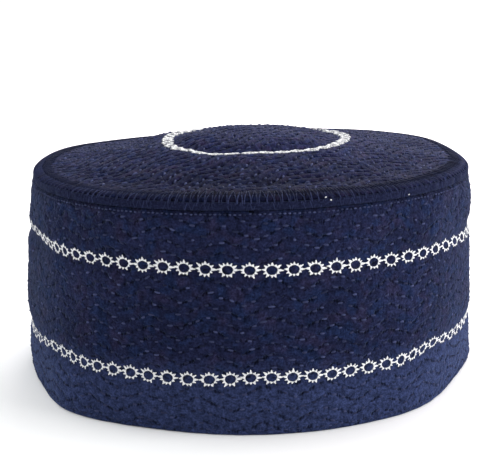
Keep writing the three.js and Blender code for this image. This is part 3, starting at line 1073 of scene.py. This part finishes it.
def embroidered_row(name, count, phase, line, drift, seed):
    """A row of eyelets round the wall."""
    chance = np.random.default_rng(seed)
    starts = []
    ends = []
    where = []
    levels = []
    sizes = []
    step = 360 / count
    link = 0.53 * arc_at(step)
    for eyelet in range(count):
        middle = (phase + step * eyelet + chance.normal(0, 0.06) + 180) % 360 - 180
        place = middle + float(read_table(drift, middle))
        level = float(read_table(line, place)) + chance.normal(0, 0.07)
        size = float(read_table(eyelet_size, place))
        inner, outer = sun_strands(chance, link)
        slope = float(read_table(line, place + 1) - read_table(line, place - 1)) / arc_at(2)
        for flat, kept in ((inner, starts), (outer, ends)):
            azimuth = middle + azimuth_at(flat[:, 0])
            azimuth = azimuth + read_table(drift, azimuth)
            height = level + flat[:, 1] * size + flat[:, 0] * slope
            kept.append(wall_point(azimuth, height, 0.18))
        centre = (inner + outer) / 2
        where.append(place + azimuth_at(centre[:, 0]))
        levels.append(level + centre[:, 1])
        sizes.append(np.full(len(inner), size))
    starts, ends, where, levels, sizes = map(np.concatenate, (starts, ends, where, levels, sizes))
    tuck = satin_tuck * unit(ends - starts)
    tones = chance.uniform(0.35, 1.0, len(starts))
    widths = chance.normal(satin_width, 0.03, len(starts)) * sizes
    normals = wall_normals(where, levels)
    lay_threads(name, white_thread, starts - tuck, ends + tuck, normals, widths, 0.34 * sizes**3, 0.12, tones)


embroidered_row("upper_embroidered_row", 74, 0.68, upper_line, upper_drift, 51)
embroidered_row("lower_embroidered_row", 77, 0.62, lower_line, lower_drift, 52)

ring_count = 38
ring_phase = -2.3
starts = []
ends = []
normals = []
for eyelet in range(ring_count):
    middle = (ring_phase + 360 / ring_count * eyelet + chance.normal(0, 0.1) + 180) % 360 - 180
    reach = float(read_table(ring_line, middle)) + chance.normal(0, 0.08)
    inner, outer = sun_strands(chance, 3.3)
    for flat, kept in ((inner, starts), (outer, ends)):
        azimuth = middle + np.degrees(flat[:, 0] * 0.93 / reach)
        kept.append(crown_point(azimuth, reach - 0.86 * flat[:, 1], 0.24))
    centre = (inner + outer) / 2
    normals.append(crown_normals(middle + np.degrees(centre[:, 0] / reach), reach - centre[:, 1]))
starts, ends, normals = map(np.concatenate, (starts, ends, normals))
tuck = satin_tuck * unit(ends - starts)
tones = chance.uniform(0.35, 1.0, len(starts))
ring = "crown_embroidered_ring"
lay_threads(ring, white_thread, starts - tuck, ends + tuck, normals, satin_width, 0.5, 0.16, tones)

# The loose threads
# A few short ends of white thread that caught in the crown seam: azimuth, height and heading.
lint = [(17.3, 85.9, 20), (18.5, 84.8, -35), (39.4, 83.2, 60)]
starts = []
ends = []
normals = []
for azimuth, height, heading in lint:
    for strand in range(2):
        bearing = math.radians(heading + chance.uniform(-40, 40))
        side = azimuth_at(0.38 * math.cos(bearing))
        rise = 0.3 * math.sin(bearing)
        reach = welt_outer + float(crease_offset(azimuth, 1.0)) + 0.3 + 0.12 * strand
        level = height - float(sink_offset(azimuth, wall_top))
        starts.append(turned_place(azimuth - side, reach, level - rise))
        ends.append(turned_place(azimuth + side, reach + 0.1, level + rise))
        normals.append(outward(azimuth))
tones = np.ones(len(starts))
starts, ends, normals = map(np.array, (starts, ends, normals))
lay_threads("loose_threads", white_thread, starts, ends, normals, 0.28, 0.28, -0.1, tones)

# The floor and the light
# A plain pale floor, a pale surround and large soft lights, brightest from behind and the right.
floor_mesh = bmesh.new()
bmesh.ops.create_circle(floor_mesh, cap_ends=True, segments=96, radius=9.0)
floor_data = bpy.data.meshes.new("floor")
floor_mesh.to_mesh(floor_data)
floor_mesh.free()
floor = in_scene("floor", floor_data)
pale, bench, shader = new_material("pale_floor")
bench.fill(shader, {"Base Color": (0.96, 0.96, 0.96, 1), "Roughness": 0.9, "Specular IOR Level": 0.1})
floor_data.materials.append(pale)

surround = bpy.data.worlds.new("surround")
surround.use_nodes = True
bench = Workbench(surround.node_tree)
toward_back = bench.split(bench.add("ShaderNodeTexCoord", {}).outputs["Generated"])[1]
# The room is darker in front of the cap than behind it.
strength = bench.fade(toward_back, -0.65, 0.4, 0.45, 1.6)
bench.fill(surround.node_tree.nodes["Background"], {"Strength": strength, "Color": (1.0, 1.0, 1.0, 1)})
bpy.context.scene.world = surround


def stand(name, data, place, sideways, upward):
    """Stands a lamp or the camera at a place in metres, given its own right and up."""
    thing = in_scene(name, data)
    turned = np.eye(4)
    turned[:3, :] = np.stack([sideways, upward, np.cross(sideways, upward), place], axis=-1)
    thing.matrix_world = Matrix(turned)
    return thing


def soft_light(name, place, aim_height, wide, tall, power, colour=(1, 1, 1)):
    """A soft light in metres and watts, turned towards a point on the cap's axis."""
    light = bpy.data.lights.new(name, "AREA")
    light.shape = "RECTANGLE"
    light.size = wide
    light.size_y = tall
    light.energy = power
    light.color = colour
    forward = unit(np.array([0, 0, aim_height]) - place)
    sideways = unit(np.cross(forward, (0, 0, 1)))
    stand(name, light, place, sideways, np.cross(sideways, forward))


soft_light("light_behind", (0.28, 1.22, 0.42), 0.08, 1.0, 0.5, 15, (1.0, 0.96, 0.98))
soft_light("light_side", (1.1, 0.7, 0.35), 0.08, 0.8, 0.4, 7, (1.0, 0.86, 0.92))
soft_light("light_left", (-1.1, 0.5, 0.35), 0.08, 0.6, 0.4, 4, (0.85, 0.95, 1.0))
soft_light("light_right", (1.15, -0.3, 0.5), 0.05, 0.8, 0.8, 12)
soft_light("light_front", (0.0, -1.2, 0.6), 0.05, 0.8, 0.8, 2)

# The camera
# It looks at the cap from the front, a little from above, rolled slightly to the right.
picture_width = 500
aim_down_pixels = 247
middle_down_pixels = 235
sight_length_pixels = 1226.0
sensor_width = 36.0
aim_height = 46.8
distance = 520.0
looking_down = math.radians(13.9)
rolled = math.radians(-0.6)
forward = np.array([0, math.cos(looking_down), -math.sin(looking_down)])
upward = np.array([0, math.sin(looking_down), math.cos(looking_down)])
right = np.array([1.0, 0, 0])
place = np.array([0, 0, aim_height]) - distance * forward
right_rolled = math.cos(rolled) * right + math.sin(rolled) * upward
up_rolled = -math.sin(rolled) * right + math.cos(rolled) * upward
sight = unit(forward + (aim_down_pixels - middle_down_pixels) / sight_length_pixels * up_rolled)
camera_right = unit(right_rolled - right_rolled.dot(sight) * sight)
camera_data = bpy.data.cameras.new("camera")
camera_data.sensor_fit = "HORIZONTAL"
camera_data.sensor_width = sensor_width
camera_data.lens = sight_length_pixels / picture_width * sensor_width
camera_data.dof.use_dof = False
camera = stand("camera", camera_data, place * millimetre, camera_right, np.cross(camera_right, sight))
bpy.context.scene.camera = camera
bpy.context.scene.view_settings.view_transform = "Standard"
